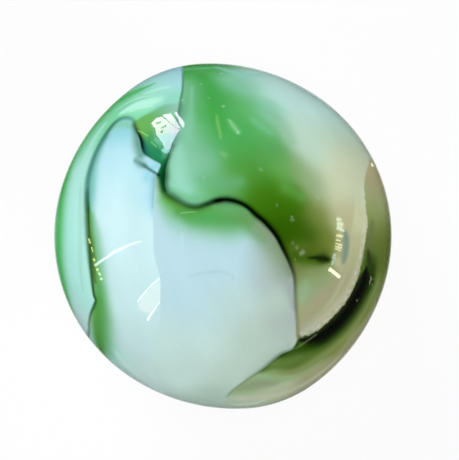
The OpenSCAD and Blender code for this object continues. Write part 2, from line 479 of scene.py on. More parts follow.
lay("tusk", [
    (ICE, 1.4, (-4.8, 1.6)), (ICE, 1.4, (-4.2, -0.4)), ("#CEF0F2", 1.4, (-4.4, -2.6)),
    ("#C8E8E8", 1.2, (-3.9, -4.6)), ("#CCEAE4", 1.0, (-3.6, -6.4)), (FROST, 1.4, (-5.0, 3.4)),
    (FROST, 0.8, (-3.8, 2.3)), ("#B8EAF6", 0.6, (-3.3, 1.8)), (SKY, 0.8, (-4.6, 4.9)),
    (POOL, 0.6, (-3.2, 3.3)), (AQUA, 0.7, (-5.0, -5.6)), ("#C8EAE2", 1.0, (-3.6, -7.0, -1.0)),
    (AQUA, 0.9, (-5.4, -5.5, -1.4)), (MIST, 0.9, (-1.6, -7.8, -1.0)),
], [
    ("#7CC8BC", 0.9, [(-5.4, 4.6, 0.2), (-5.75, 3.9, 0.25), (-6.0, 3.1, 0.35), (-6.08, 2.2, 0.38),
                      (-6.15, 1.4, 0.38), (-6.1, 0.7, 0.25)]),
    ("#DCF8F4", 0.7, [(-5.0, -5.4, 0.2), (-4.5, -6.1, 0.4), (-3.7, -6.8, 0.45),
                      (-2.9, -7.3, 0.3)]),
    (SEA, 0.8, [(-5.3, 4.9, 0.2), (-4.95, 5.15, 0.25), (-4.5, 5.2, 0.25), (-4.2, 5.1, 0.2)]),
    (REED, 0.9, [(-4.1, 5.1, 0.15), (-3.95, 4.7, 0.25), (-3.9, 4.35, 0.3), (-3.8, 4.0, 0.3),
                 (-3.75, 3.75, 0.25)]),
    (REED, 0.5, [(-4.0, 3.55, 0.15), (-3.8, 3.35, 0.22), (-3.6, 3.25, 0.18)]),
    (SKY, 0.8, [(-3.0, 3.2, 0.15), (-3.3, 3.1, 0.2), (-3.4, 2.7, 0.3)]),
    (POOL, 0.7, [(-3.3, 2.7, 0.2), (-3.2, 2.2, 0.3), (-3.2, 1.6, 0.25), (-3.2, 1.0, 0.15)]),
    ("#74ACB0", 0.6, [(-3.1, 2.75, 0.15), (-3.08, 2.3, 0.2), (-3.1, 1.8, 0.18), (-3.15, 1.3, 0.1)]),
    (JADE, 0.7, [(-6.0, 1.0, 0.15), (-5.8, 0.0, 0.32), (-5.65, -1.2, 0.38), (-5.55, -2.6, 0.45),
                 (-5.5, -4.2, 0.6), (-5.45, -5.3, 0.5)]),
    (FERN, 1.0, [(-6.2, 1.6, 0.03), (-6.15, 1.1, 0.12), (-6.1, 0.5, 0.22), (-6.0, -0.4, 0.3),
                 (-5.87, -1.6, 0.37), (-5.74, -2.6, 0.5), (-5.68, -3.6, 0.63), (-5.72, -4.6, 0.6),
                 (-5.7, -5.4, 0.4)]),
    (LOAM, 0.9, [(-6.25, 1.4, 0.02), (-6.2, 0.8, 0.06), (-6.15, 0.2, 0.1), (-6.05, -0.5, 0.15),
                 (-5.98, -1.3, 0.15), (-5.9, -2.1, 0.1)]),
    (MOSS, 0.75, [(-5.8, -2.9, 0.25), (-5.9, -3.8, 0.35), (-5.85, -4.7, 0.32),
                  (-5.75, -5.3, 0.2)]),
])

# Keel: a fold along the underside, from one shear cut to the other. It is leaf green and moss
# green by its west seam, and turns sage, pearl and cream toward the east.
KEEL_WEST = [(-3.4, 7.1, -1.3), (-4.4, 6.1, -2.7), (-4.9, 4.7, -4.3), (-4.5, 2.7, -6.1),
             (-3.3, 1.0, -7.2), (-2.3, -0.8, -7.6), (-2.3, -2.9, -7.1), (-2.2, -5.0, -5.9),
             (-0.8, -6.6, -4.4), (1.1, -7.4, -2.8)]
cut("keel", [*KEEL_WEST, (3.1, -6.8, -2.8), (4.9, -4.2, -4.7),
             (6.3, -0.4, -4.9), (6.1, 3.0, -4.2), (4.3, 5.7, -3.7), (1.6, 7.3, -2.8),
             (-1.0, 7.7, -1.9)])
lay("keel", [
    (JADE, 1.2, (-2.9, 6.4, -3.9)), (LEAF, 1.3, (-3.8, 3.9, -5.9)), (MOSS, 1.3, (-2.9, 1.4, -7.4)),
    (OLIVE, 1.2, (-1.9, -1.0, -7.8)), (MOSS, 1.1, (-1.9, -3.4, -7.1)),
    (KHAKI, 1.1, (-1.2, -5.4, -5.8)), (AQUA, 1.3, (-1.2, 6.3, -4.8)),
    (SPRING, 1.2, (-1.9, 4.3, -6.5)), (MEADOW, 1.2, (-0.7, 1.6, -7.9)),
    (SAGE, 1.2, (0.1, -1.2, -8.0)), (SAGE, 1.2, (0.2, -3.8, -7.0)), (BONE, 1.2, (0.7, -6.0, -5.2)),
    (PEARL, 1.4, (0.8, 4.8, -6.4)), (PEARL, 1.4, (1.8, 2.0, -7.6)), (CREAM, 1.3, (2.3, -0.8, -7.7)),
    (BONE, 1.3, (2.4, -3.5, -6.9)), (MIST, 1.2, (2.6, -5.8, -5.0)), (SEA, 1.0, (0.6, 7.2, -3.5)),
], [
    (FOREST, 0.8, [(-4.3, 3.4, -5.9, 0.1), (-3.5, 1.9, -6.9, 0.35), (-2.4, 0.2, -7.6, 0.55),
                   (-2.0, -1.6, -7.6, 0.55), (-2.0, -3.4, -7.0, 0.4), (-1.8, -5.0, -6.0, 0.15)]),
    (AQUA, 0.6, [(-3.4, 6.3, -3.6, 0.1), (-2.6, 5.2, -5.5, 0.25), (-1.6, 3.2, -7.1, 0.3),
                 (-0.6, 2.7, -7.5, 0.15)]),
    (PEARL, 0.6, [(0.0, 6.6, -4.5, 0.2), (1.3, 4.0, -6.8, 0.4), (2.2, 1.0, -7.6, 0.4),
                  (2.4, -1.8, -7.4, 0.35), (2.0, -4.4, -6.4, 0.2)]),
    (MINT, 0.5, [(0.2, 0.4, -8.0, 0.1), (0.9, -0.9, -7.9, 0.25), (1.2, -2.4, -7.5, 0.2)]),
])

# East fold: a broad lobe of jade with a column of leaf green, that turns olive, then cream.
# Its edge on the milk runs down its side, round a nose, over a bend and on to the south.
LOBE_SIDE = [(-2.25, 4.25), (-2.4, 3.85), (-2.5, 3.5)]
LOBE_NOSE = [(-2.6, 3.1), (-2.63, 2.75), (-2.64, 2.4), (-2.58, 2.12), (-2.48, 1.94), (-2.28, 1.8),
             (-2.04, 1.64), (-1.72, 1.48), (-1.4, 1.38)]
LOBE_BEND = [(-1.05, 1.38), (-0.7, 1.47), (-0.3, 1.61), (0.05, 1.67)]
LOBE_SOUTH = [(0.4, 1.64), (0.8, 1.51), (1.15, 1.3), (1.55, 0.95), (1.9, 0.65), (2.4, 0.05),
              (2.75, -0.6), (3.05, -1.25), (3.25, -1.85), (3.3, -2.55), (3.35, -3.3), (3.4, -3.9)]
cut("lobe", [(-1.8, 7.7), (-1.85, 7.0), (-1.95, 6.35), (-2.05, 5.7), (-2.1, 5.25), (-2.15, 4.8),
             *LOBE_SIDE, *LOBE_NOSE, *LOBE_BEND, *LOBE_SOUTH, (3.5, -4.8), (5.0, -4.6),
             (7.0, -3.5), (7.9, -1.0), (7.9, 1.0, -0.8), (7.3, 2.8, -1.6), (6.5, 4.0, -2.2),
             (5.2, 5.2, -3.1), (3.6, 6.3, -3.4), (1.4, 7.2, -3.1), (-0.6, 7.7, -2.3),
             (-1.9, 7.75, -1.0)])
lay("lobe", [
    (JADE, 1.0, (-1.8, 6.4)), (SEA, 0.8, (-1.9, 4.9)), (JADE, 1.1, (-1.4, 4.0)),
    (SEA, 1.1, (-2.1, 2.6)), (SEA, 0.8, (-1.6, 1.8)), (JADE, 0.7, (-0.9, 3.2)),
    (SPRING, 0.7, (-0.5, 2.3)), (FERN, 0.7, (0.2, 2.2)),
    (LEAF, 0.8, (-0.9, 7.6)), (LEAF, 1.1, (-0.6, 6.4)), (LEAF, 1.1, (-0.2, 5.1)),
    (LEAF, 1.2, (0.7, 4.4)), (SPRING, 0.8, (1.0, 5.8)), (SPRING, 0.7, (1.9, 4.7)),
    (SEA, 1.0, (0.7, 7.1)), (SEA, 0.8, (2.1, 5.8)), (PEARL, 1.1, (2.2, 7.2)),
    (PEARL, 1.4, (3.5, 6.1)), (BONE, 1.1, (3.6, 4.8)), (BONE, 1.1, (4.6, 4.6)),
    (BONE, 0.7, (4.1, 3.8)), (CREAM, 1.2, (5.4, 3.4)), (CREAM, 1.0, (5.2, 2.2)),
    (MOSS, 1.1, (1.2, 3.1)), (FERN, 0.8, (2.3, 3.8)), (MEADOW, 0.7, (2.8, 3.1)),
    (SAGE, 0.7, (3.5, 3.1)), (SAGE, 0.7, (4.2, 2.3)), (STRAW, 0.8, (5.6, 1.0)),
    (OLIVE, 1.1, (2.1, 1.8)), (OLIVE, 0.7, (3.1, 1.6)), (FOREST, 1.1, (2.9, 0.4)),
    (FOREST, 0.7, (3.8, 0.0)), ("#84944C", 0.8, (4.3, 0.9)), (BRACKEN, 0.6, (4.7, -0.4)),
    (BRACKEN, 0.5, (3.6, -0.7)), (STRAW, 0.8, (5.8, -0.8)), ("#768648", 0.9, (3.7, -1.5)),
    ("#86985A", 0.6, (4.3, -1.5)), ("#9CB48A", 0.8, (3.7, -2.6)), (SAGE, 0.7, (4.3, -2.0)),
    (DRAB, 0.8, (4.8, -2.6)), (DRAB, 1.0, (4.0, -3.5)), (CREAM, 1.0, (6.3, 4.7, -1.3)),
    (BONE, 1.2, (4.6, 6.2, -2.1)), (PEARL, 1.0, (3.0, 7.3, -1.2)), (SEA, 1.0, (1.6, 7.6, -1.8)),
    (LEAF, 1.0, (-0.4, 7.8, -1.6)),
], [
    ("#48AC50", 0.9, [(-1.0, 7.4, 0.3), (-0.7, 7.0, 0.5), (-0.5, 6.5, 0.5), (-0.35, 5.9, 0.42),
                      (-0.2, 5.3, 0.35), (-0.1, 4.8, 0.2)]),
    ("#74DC94", 0.7, [(-1.9, 7.6, 0.2), (-1.2, 7.7, 0.25), (-0.6, 7.75, 0.2)]),
    ("#9CE4D4", 0.7, [(-0.3, 7.8, 0.15), (0.3, 7.65, 0.3), (1.0, 7.5, 0.4), (1.6, 7.5, 0.3)]),
    ("#88D0AA", 0.7, [(-1.4, 6.9, 0.08), (-1.45, 6.2, 0.15), (-1.5, 5.4, 0.22), (-1.55, 4.5, 0.2)]),
    ("#9CD878", 0.6, [(-0.27, 5.6, 0.04), (-0.22, 5.15, 0.07), (-0.12, 4.75, 0.07),
                      (-0.1, 4.5, 0.05)]),
    ("#A0DCA8", 0.7, [(0.3, 5.35, 0.08), (0.5, 5.05, 0.13), (0.7, 4.8, 0.12)]),
    ("#84D4A8", 0.5, [(1.4, 5.35, 0.2), (1.8, 5.05, 0.25), (2.2, 4.75, 0.2)]),
    ("#8CC884", 0.6, [(-0.05, 3.8, 0.12), (0.1, 3.72, 0.14)]),
    ("#88C098", 0.4, [(2.2, 5.7, 0.2), (2.8, 5.1, 0.4), (3.2, 4.4, 0.3)]),
    ("#74BA90", 0.5, [(-0.9, 2.6, 0.3), (-0.3, 2.45, 0.5), (0.3, 2.4, 0.5), (0.8, 2.5, 0.3)]),
    (MEADOW, 0.5, [(2.9, 2.2, 0.4), (3.6, 1.8, 0.3)]),
    ("#54681C", 0.6, [(3.7, -0.6, 0.2), (4.3, -0.7, 0.4), (4.8, -0.8, 0.25)]),
    (FOREST, 0.7, [(3.3, -0.9, 0.3), (3.8, -1.02, 0.32), (4.4, -1.1, 0.27), (4.95, -1.1, 0.14)]),
    ("#122006", 0.9, [(3.9, -1.0, 0.04), (4.25, -0.98, 0.1), (4.55, -1.02, 0.2),
                      (4.82, -1.06, 0.14)]),
    (AQUA, 0.4, [(-2.0, 4.1, 0.2), (-2.0, 3.5, 0.35), (-2.0, 2.9, 0.4), (-1.9, 2.4, 0.4),
                 (-1.6, 2.1, 0.3)]),
    (REED, 0.6, [(-1.9, 6.0, 0.15), (-2.0, 5.4, 0.25), (-2.1, 4.8, 0.25), (-2.25, 4.2, 0.2)]),
    ("#849C88", 0.9, [(5.66, 0.15, 0.15), (5.7, -0.35, 0.3), (5.66, -0.85, 0.3),
                      (5.58, -1.15, 0.15)]),
    ("#6CBC80", 0.5, [(-2.35, 2.15, 0.1), (-2.0, 1.88, 0.2), (-1.6, 1.72, 0.22), (-1.1, 1.65, 0.2),
                      (-0.6, 1.75, 0.1)]),
    ("#98C8A0", 0.4, [(3.8, -2.15, 0.2), (3.75, -2.5, 0.4), (3.7, -2.85, 0.25)]),
    ("#BCA890", 0.4, [(4.7, -2.5, 0.2), (4.4, -2.95, 0.32), (4.1, -3.3, 0.2)]),
    (CREAM, 0.4, [(4.5, 4.45, 0.1), (5.1, 3.85, 0.15), (5.65, 3.15, 0.15), (5.95, 2.5, 0.15),
                  (6.2, 1.8, 0.15)]),
])

# The lobe's rolled-over lip, along its east edge.
cut("lip", [(6.7, 2.3), (6.3, 2.4), (6.15, 1.8), (6.05, 0.9), (5.9, -0.15), (5.7, -1.2),
            (5.4, -2.0), (5.0, -2.8), (4.5, -3.4), (3.95, -3.9), (3.55, -4.2), (3.6, -4.9),
            (5.0, -4.4), (6.4, -2.6), (7.0, -0.6), (7.0, 0.8)])
lay("lip", [
    (CREAM, 0.8, (6.4, 2.0)), ("#D4DAB0", 0.8, (6.3, 0.9)), (STRAW, 0.6, (6.1, -0.4)),
    ("#B8BC90", 0.6, (6.0, -1.2)), ("#B2B28A", 0.6, (5.6, -2.1)), ("#B2B28C", 0.6, (5.0, -3.0)),
    ("#B4B692", 0.6, (4.4, -3.7)), ("#A8AE98", 0.4, (4.0, -4.2)),
], [
    ("#CCD0B8", 0.5, [(6.6, 1.9, 0.03), (6.6, 1.2, 0.05), (6.6, 0.6, 0.07), (6.5, 0.0, 0.1),
                      (6.43, -0.5, 0.12), (6.3, -1.05, 0.14), (6.16, -1.6, 0.16),
                      (5.94, -2.15, 0.18), (5.6, -2.75, 0.2), (5.1, -3.3, 0.2),
                      (4.52, -3.86, 0.2), (4.0, -4.24, 0.18), (3.65, -4.45, 0.1)]),
    ("#C4C8A8", 0.4, [(6.1, 0.6, 0.05), (5.98, -0.4, 0.08), (5.82, -1.2, 0.1), (5.55, -2.0, 0.1),
                      (5.2, -2.65, 0.12), (4.7, -3.3, 0.1)]),
])

# East skirt: dark olive glass that the lobe's lip stands over, with bands below it; painted shade
# under the lip, and a painted reflection and glint at its rim.
SKIRT_SOUTH = [(2.7, -5.45), (2.25, -5.8), (1.8, -6.15), (1.4, -6.4), (0.9, -6.75), (0.45, -7.1),
               (0.15, -7.45)]
SKIRT_LOW = [(0.5, -7.9, -1.4), (2.1, -7.0, -3.1), (3.7, -5.1, -5.0), (4.4, -2.7, -6.1),
             (4.2, -0.2, -6.8), (4.4, 2.4, -6.3), (3.7, 4.7, -5.4), (1.6, 6.5, -4.4),
             (-0.3, 7.5, -2.8)]
SKIRT_NORTH = [(-1.1, 7.85, -1.2), (0.3, 7.8, -1.9), (2.1, 7.4, -2.2), (4.3, 6.4, -2.0),
               (6.1, 5.1, -0.9)]
cut("skirt", [(6.95, 3.95), (6.8, 3.3), (6.6, 2.6), (6.6, 1.9), (6.65, 1.2), (6.7, 0.65),
              (6.63, 0.0), (6.57, -0.5), (6.44, -1.1), (6.33, -1.65), (6.13, -2.25),
              (5.82, -2.85), (5.32, -3.47), (4.72, -4.08), (4.12, -4.48), (3.5, -4.7),
              (3.25, -5.17), *SKIRT_SOUTH, (0.1, -7.85), *SKIRT_LOW, *SKIRT_NORTH])
lay("skirt", [
    ("#CCC498", 0.7, (6.9, 3.2)), ("#B8B488", 0.7, (7.0, 2.5)), ("#ACB884", 0.8, (7.15, 1.5)),
    ("#98AA68", 0.7, (7.0, 0.8)), ("#6C7E34", 0.9, (7.2, 0.0)), ("#64762C", 0.7, (7.4, -1.2)),
    (LOAM, 0.6, (6.9, -1.0)), ("#7C8E50", 0.6, (7.5, -2.4)), (LOAM, 0.6, (4.4, -5.4)),
    (LOAM, 0.5, (3.2, -5.8)), (SAGE, 0.6, (2.1, -6.5)), (SAGE, 0.6, (1.2, -6.9)),
    (DRAB, 0.7, (7.1, -3.6)), ("#A0A478", 0.7, (5.9, -5.1)), ("#A4A880", 0.7, (4.2, -6.35)),
    ("#B8C4A4", 0.7, (2.4, -7.1)), ("#B4CCB4", 0.6, (1.0, -7.6)), (BRACKEN, 0.5, (6.6, -3.4)),
    (BRACKEN, 0.5, (5.4, -4.9)),
    (SAGE, 1.2, (1.2, 7.4, -2.8)), (BRACKEN, 1.0, (4.2, 6.1, -3.0)), (SAGE, 1.2, (3.0, 5.9, -4.4)),
    (KHAKI, 1.1, (6.1, 4.6, -2.4)), (STRAW, 1.3, (5.0, 4.2, -4.6)), (STRAW, 1.2, (7.2, 2.6, -2.2)),
    (KHAKI, 1.2, (6.6, 2.1, -4.0)), (BONE, 1.3, (5.2, 1.7, -5.8)), (SAGE, 1.2, (7.6, 0.2, -2.4)),
    (STRAW, 1.3, (6.6, -0.5, -4.5)), (BONE, 1.2, (5.0, -0.8, -6.2)), (CREAM, 1.2, (6.8, -2.9, -3.0)),
    (SAGE, 1.2, (5.5, -3.3, -4.8)), (CREAM, 1.1, (5.0, -5.2, -3.4)), (ASH, 1.1, (2.9, -6.3, -4.0)),
], [
    (SAGE, 0.7, [(1.8, -7.8, -0.8, 0.1), (3.6, -7.0, -1.4, 0.3), (5.4, -5.7, -1.6, 0.45),
                 (6.9, -3.8, -1.6, 0.5), (7.7, -1.6, -1.6, 0.4), (7.8, 0.4, -1.7, 0.08)]),
    (FERN, 0.7, [(2.8, -7.4, -1.2, 0.08), (4.4, -6.4, -1.7, 0.2), (6.0, -5.0, -1.9, 0.3),
                 (7.2, -3.0, -1.9, 0.3), (7.6, -1.4, -1.9, 0.05)]),
    (LOAM, 0.8, [(0.3, 7.7, -2.2, 0.1), (2.6, 7.1, -2.7, 0.25), (4.8, 6.0, -2.3, 0.35),
                 (6.5, 4.6, -1.2, 0.35), (7.2, 3.4, -0.9, 0.2)]),
    (FOREST, 0.8, [(3.2, 6.9, -2.4, 0.08), (4.8, 6.1, -2.1, 0.2), (6.3, 4.9, -1.1, 0.2),
                   (6.9, 4.0, -0.6, 0.08)]),
    (LEAF, 0.8, [(1.2, 6.9, -3.8, 0.15), (3.2, 5.3, -5.1, 0.35), (4.4, 2.9, -6.0, 0.6),
                 (4.6, 0.4, -6.5, 0.7), (4.6, -2.0, -6.2, 0.6), (4.0, -4.4, -5.3, 0.4),
                 (2.6, -6.5, -3.9, 0.06)]),
    (FOREST, 0.7, [(3.4, 4.6, -5.6, 0.08), (4.2, 2.6, -6.3, 0.25), (4.3, 0.2, -6.7, 0.35),
                   (4.4, -2.2, -6.2, 0.3), (3.9, -4.4, -5.4, 0.12)]),
    (KHAKI, 0.7, [(3.2, 6.5, -3.3, 0.15), (5.0, 5.0, -3.8, 0.4), (6.3, 2.9, -3.9, 0.65),
                  (6.8, 0.6, -4.1, 0.8), (6.6, -1.8, -4.2, 0.7), (5.8, -3.9, -3.9, 0.45),
                  (4.3, -5.8, -3.2, 0.08)]),
    (OLIVE, 0.8, [(4.0, 5.9, -3.5, 0.08), (5.6, 4.2, -3.9, 0.2), (6.6, 2.1, -4.0, 0.35),
                  (6.9, -0.2, -4.1, 0.45), (6.5, -2.4, -4.0, 0.3), (5.6, -4.4, -3.7, 0.04)]),
    (CREAM, 0.7, [(6.9, 3.2, -2.5, 0.15), (7.4, 1.3, -2.5, 0.3), (7.5, -0.8, -2.5, 0.35),
                  (7.0, -2.9, -2.5, 0.35), (5.8, -5.0, -2.2, 0.25), (4.2, -6.6, -1.6, 0.05)]),
    (BONE, 0.7, [(2.4, 6.5, -4.0, 0.1), (4.2, 4.9, -4.8, 0.25), (5.4, 2.9, -5.2, 0.35),
                 (5.8, 0.6, -5.5, 0.35), (5.6, -1.7, -5.4, 0.3), (4.7, -4.3, -4.8, 0.2),
                 (3.4, -6.2, -3.7, 0.1)]),
    (ASH, 0.7, [(0.8, -7.5, 0.35), (1.8, -7.4, 0.35), (2.9, -7.15, 0.32), (4.0, -6.65, 0.3),
                (5.4, -5.6, 0.2)]),
    ("#94B07C", 0.8, [(1.2, -6.95, 0.3), (1.8, -6.7, 0.38), (2.6, -6.6, 0.3), (3.4, -6.45, 0.2),
                      (4.6, -5.75, 0.12)]),
    ("#8C9880", 0.6, [(0.7, -7.1, 0.15), (1.1, -6.92, 0.42), (1.6, -6.8, 0.5), (2.3, -6.8, 0.3)]),
    # Painted highlight: a soft pale glint on the south rim.
    ("#D4E4D0", 0.8, [(0.4, -7.75, 0.1), (1.15, -7.72, 0.3), (1.9, -7.5, 0.1)]),
    ("#8C9C60", 0.8, [(2.2, -6.35, 0.15), (3.35, -6.2, 0.32), (4.25, -5.75, 0.45),
                      (5.4, -4.9, 0.5), (6.5, -3.6, 0.45), (7.2, -2.2, 0.4)]),
    (LOAM, 0.9, [(1.9, -6.15, 0.25), (2.35, -6.0, 0.35), (3.1, -5.85, 0.45), (4.2, -5.3, 0.45),
                 (5.4, -4.5, 0.5), (6.3, -3.4, 0.55), (6.95, -2.1, 0.55), (7.0, -1.2, 0.4)]),
    ("#7C9C5C", 0.2, [(2.4, -5.95, 0.15), (2.9, -5.85, 0.3), (3.5, -5.6, 0.2)]),
    ("#84C8A0", 0.3, [(1.7, -6.45, 0.1), (2.0, -6.5, 0.2), (2.4, -6.4, 0.12)]),
    ("#6E7850", 0.6, [(6.95, 0.6, 0.2), (6.85, 0.0, 0.35), (6.8, -0.6, 0.35), (6.8, -1.1, 0.2)]),
    # Painted shade: the dark crescent under the lip's edge, where the deep green glass is darkened
    # through forest green to black.
    (FOREST, 1.0, [(2.7, -5.5, 0.05), (3.4, -5.15, 0.2), (4.4, -4.9, 0.47), (5.4, -4.1, 0.5),
                   (6.2, -3.1, 0.5), (6.8, -2.1, 0.5), (6.95, -1.6, 0.25)]),
    ("#2A3C0C", 0.9, [(6.75, -0.75, 0.15), (6.82, -1.2, 0.45), (6.9, -1.65, 0.6),
                      (6.88, -2.1, 0.42)]),
    ("#1C3406", 0.4, [(2.6, -5.6, 0.06), (3.05, -5.45, 0.18), (3.6, -5.25, 0.28),
                      (4.2, -5.05, 0.28), (4.8, -4.8, 0.2)]),
    # Painted reflection: a pale grey-beige band right along the south-east rim, where the glass
    # mirrors its surroundings at a grazing angle.
    ("#BCBCA4", 0.7, [(7.3, -2.9, 0.6, 0.12), (6.8, -4.0, 1.1, 0.22), (6.15, -4.9, 1.2, 0.3),
                      (5.4, -5.75, 1.3, 0.33), (4.5, -6.5, 1.3, 0.36), (3.4, -7.1, 1.3, 0.4)]),
    (PAINTED_SHADE_BLACK, 1.0, [(3.65, -4.78, 0.12), (4.15, -4.74, 0.36), (4.75, -4.48, 0.64), (5.5, -3.85, 0.72),
                  (6.1, -3.0, 0.8), (6.45, -2.37, 0.7), (6.6, -1.87, 0.45), (6.66, -1.5, 0.1)]),
])

# The seams, where one fold closes on the next, and one faint mark in the milk.
draw_seam("lobe_north", [
    (-1.8, 7.9, 0.5, 0.06, 0.05), (-1.85, 7.0, 0.55, 0.07, 0.05), (-1.95, 6.35, 0.55, 0.1, 0.05),
    (-2.05, 5.7, 0.45, 0.12, 0.06), (-2.15, 4.8, 0.35, 0.15, 0.08),
    *inked(LOBE_SIDE, [(0.35, 0.12, 0.1), (0.3, 0.12, 0.1), (0.3, 0.12, 0.1)])])
draw_seam("lobe_west", inked([*LOBE_SIDE, *LOBE_NOSE, *LOBE_BEND], [
    (0.3, 0.12, 0.15), (0.45, 0.12, 0.15), (0.6, 0.12, 0.2), (0.75, 0.18, 0.25), (0.85, 0.22, 0.3),
    (0.78, 0.2, 0.3), (0.75, 0.19, 0.26), (0.75, 0.19, 0.22), (0.78, 0.19, 0.2), (0.78, 0.18, 0.18),
    (0.75, 0.16, 0.18), (0.8, 0.15, 0.18), (0.85, 0.15, 0.18), (0.8, 0.16, 0.15), (0.5, 0.15, 0.1),
    (0.3, 0.15, 0.1)]))
draw_seam("lobe_south", [
    *inked([*LOBE_BEND, *LOBE_SOUTH], [
        (0.2, 0.1, 0.06), (0.6, 0.14, 0.1), (1.0, 0.17, 0.17), (1.0, 0.18, 0.18), (1.0, 0.18, 0.17),
        (1.0, 0.18, 0.14), (1.0, 0.18, 0.12), (1.0, 0.18, 0.16), (1.0, 0.19, 0.14), (1.0, 0.2, 0.1),
        (0.95, 0.19, 0.1), (0.85, 0.18, 0.08), (0.65, 0.15, 0.08), (0.5, 0.14, 0.08),
        (0.42, 0.13, 0.09), (0.35, 0.13, 0.09)]),
    (3.5, -4.9, 0.2, 0.1, 0.08)])
draw_seam("tusk_west", [
    (-4.05, 5.3, 0.5, 0.1, 0.1), (-4.3, 5.45, 0.6, 0.12, 0.12), (-4.65, 5.45, 0.7, 0.16, 0.16),
    (-5.0, 5.25, 0.85, 0.2, 0.2), (-5.35, 4.85, 0.9, 0.25, 0.2), (-5.9, 3.9, 0.9, 0.25, 0.22),
    (-6.22, 2.9, 0.9, 0.25, 0.24), (-6.28, 2.25, 0.9, 0.22, 0.28), (-6.27, 1.65, 0.8, 0.2, 0.26),
    (-6.25, 1.0, 0.3, 0.15, 0.15)])
draw_seam("tusk_foot", [
    (-6.28, 2.25, 0.3, 0.15, 0.15), (-6.27, 1.65, 0.7, 0.16, 0.26), (-6.25, 1.0, 0.9, 0.16, 0.28),
    (-6.22, 0.2, 0.9, 0.14, 0.26), (-6.16, -0.65, 0.95, 0.15, 0.24),
    (-6.07, -1.8, 0.95, 0.16, 0.16), (-5.97, -2.75, 0.95, 0.14, 0.1),
    (-5.9, -2.97, 0.9, 0.12, 0.08),
    *inked(TUSK_FOOT, [(0.9, 0.12, 0.08), (0.85, 0.1, 0.08), (0.7, 0.1, 0.1), (0.6, 0.12, 0.12),
                       (0.6, 0.14, 0.12), (0.6, 0.16, 0.12), (0.5, 0.14, 0.1), (0.4, 0.12, 0.1),
                       (0.3, 0.1, 0.1)])])
draw_seam("tusk_east", [
    (-4.15, 5.3, 0.5, 0.12, 0.1), (-4.0, 4.95, 0.7, 0.12, 0.1), (-3.85, 4.65, 0.95, 0.12, 0.07),
    (-3.77, 4.4, 1.0, 0.15, 0.06), (-3.7, 4.05, 0.9, 0.15, 0.06), (-3.6, 3.8, 0.6, 0.12, 0.06),
    (-3.35, 3.6, 0.2, 0.1, 0.05), (-2.85, 3.3, 0.15, 0.1, 0.05)])
draw_seam("crease", [
    (-4.1, 3.5, 0.4, 0.06, 0.1), (-3.85, 3.4, 0.4, 0.08, 0.14), (-3.6, 3.25, 0.75, 0.1, 0.12),
    (-3.4, 3.1, 0.8, 0.08, 0.08), (-3.0, 2.85, 0.85, 0.07, 0.07), (-2.85, 2.75, 0.8, 0.07, 0.07)])
draw_seam("milk_mark", [
    (-1.6, -1.85, 0.1, 0.08, 0.08), (-0.95, -1.7, 0.2, 0.08, 0.08), (-0.25, -1.6, 0.22, 0.08, 0.1),
    (0.25, -1.7, 0.22, 0.08, 0.1), (0.5, -1.85, 0.2, 0.06, 0.08), (0.4, -2.05, 0.2, 0.06, 0.06)])
draw_seam("keel", [
    (-3.0, 7.4, -0.3, 0.3, 0.1, 0.06),
    *inked(KEEL_WEST, [(0.5, 0.14, 0.07), (0.5, 0.2, 0.08), (0.7, 0.26, 0.08), (0.9, 0.3, 0.1),
                       (1.0, 0.34, 0.12), (1.0, 0.34, 0.12), (0.9, 0.26, 0.1), (0.7, 0.18, 0.08),
                       (0.5, 0.14, 0.06), (0.4, 0.1, 0.06)])])
draw_seam("skirt_north", [
    (7.05, 3.8, 0.3, 0.5, 0.06, 0.15),
    *inked(SKIRT_NORTH[::-1], [(0.8, 0.06, 0.2), (0.9, 0.07, 0.25), (0.85, 0.07, 0.22),
                               (0.75, 0.07, 0.15), (0.5, 0.06, 0.1)])])
draw_seam("skirt_low", inked(SKIRT_LOW, [
    (0.3, 0.08, 0.08), (0.5, 0.08, 0.12), (0.7, 0.08, 0.18), (0.95, 0.1, 0.24), (1.0, 0.12, 0.28),
    (0.9, 0.1, 0.22), (0.7, 0.08, 0.16), (0.5, 0.08, 0.12), (0.4, 0.06, 0.08)]))
# Partly painted shade: the skirt's seam fades wide onto the milk beside it.
draw_seam("skirt", [
    (3.45, -4.5, 0.4, 0.06, 0.06), (3.55, -4.75, 0.6, 0.12, 0.1), (3.25, -5.2, 0.6, 0.12, 0.15),
    *inked(SKIRT_SOUTH, [(0.65, 0.13, 0.18), (0.6, 0.13, 0.18), (0.5, 0.13, 0.15), (0.4, 0.12, 0.1),
                         (0.35, 0.1, 0.08), (0.3, 0.1, 0.08), (0.3, 0.1, 0.08)])])

# ---------------------------------------------------------------------------------------------
# The glass itself.
# Opal soda-lime glass, fire-polished as it rolled: a hard mirror-smooth skin over milky colour.
# ---------------------------------------------------------------------------------------------
# How far in mm each fold's edge melts into what lies under it, from the lowest fold up, and the
# colour of each seam where it is darkest.
EDGE_BLUR = {"gap": 0.14, "tusk": 0.05, "keel": 0.06, "lobe": 0.04, "lip": 0.16, "skirt": 0.07}
SEAM_INK = {"lobe_north": "#3E7068", "lobe_west": "#1C5C14", "lobe_south": "#041A00",
            "tusk_west": "#5E9486", "tusk_foot": "#4C7434", "tusk_east": "#063030",
            "crease": "#4C7464", "milk_mark": "#B8D0D4", "keel": "#16380C",
            "skirt_north": "#1C3410", "skirt_low": "#0C2C0C", "skirt": "#4C7438"}

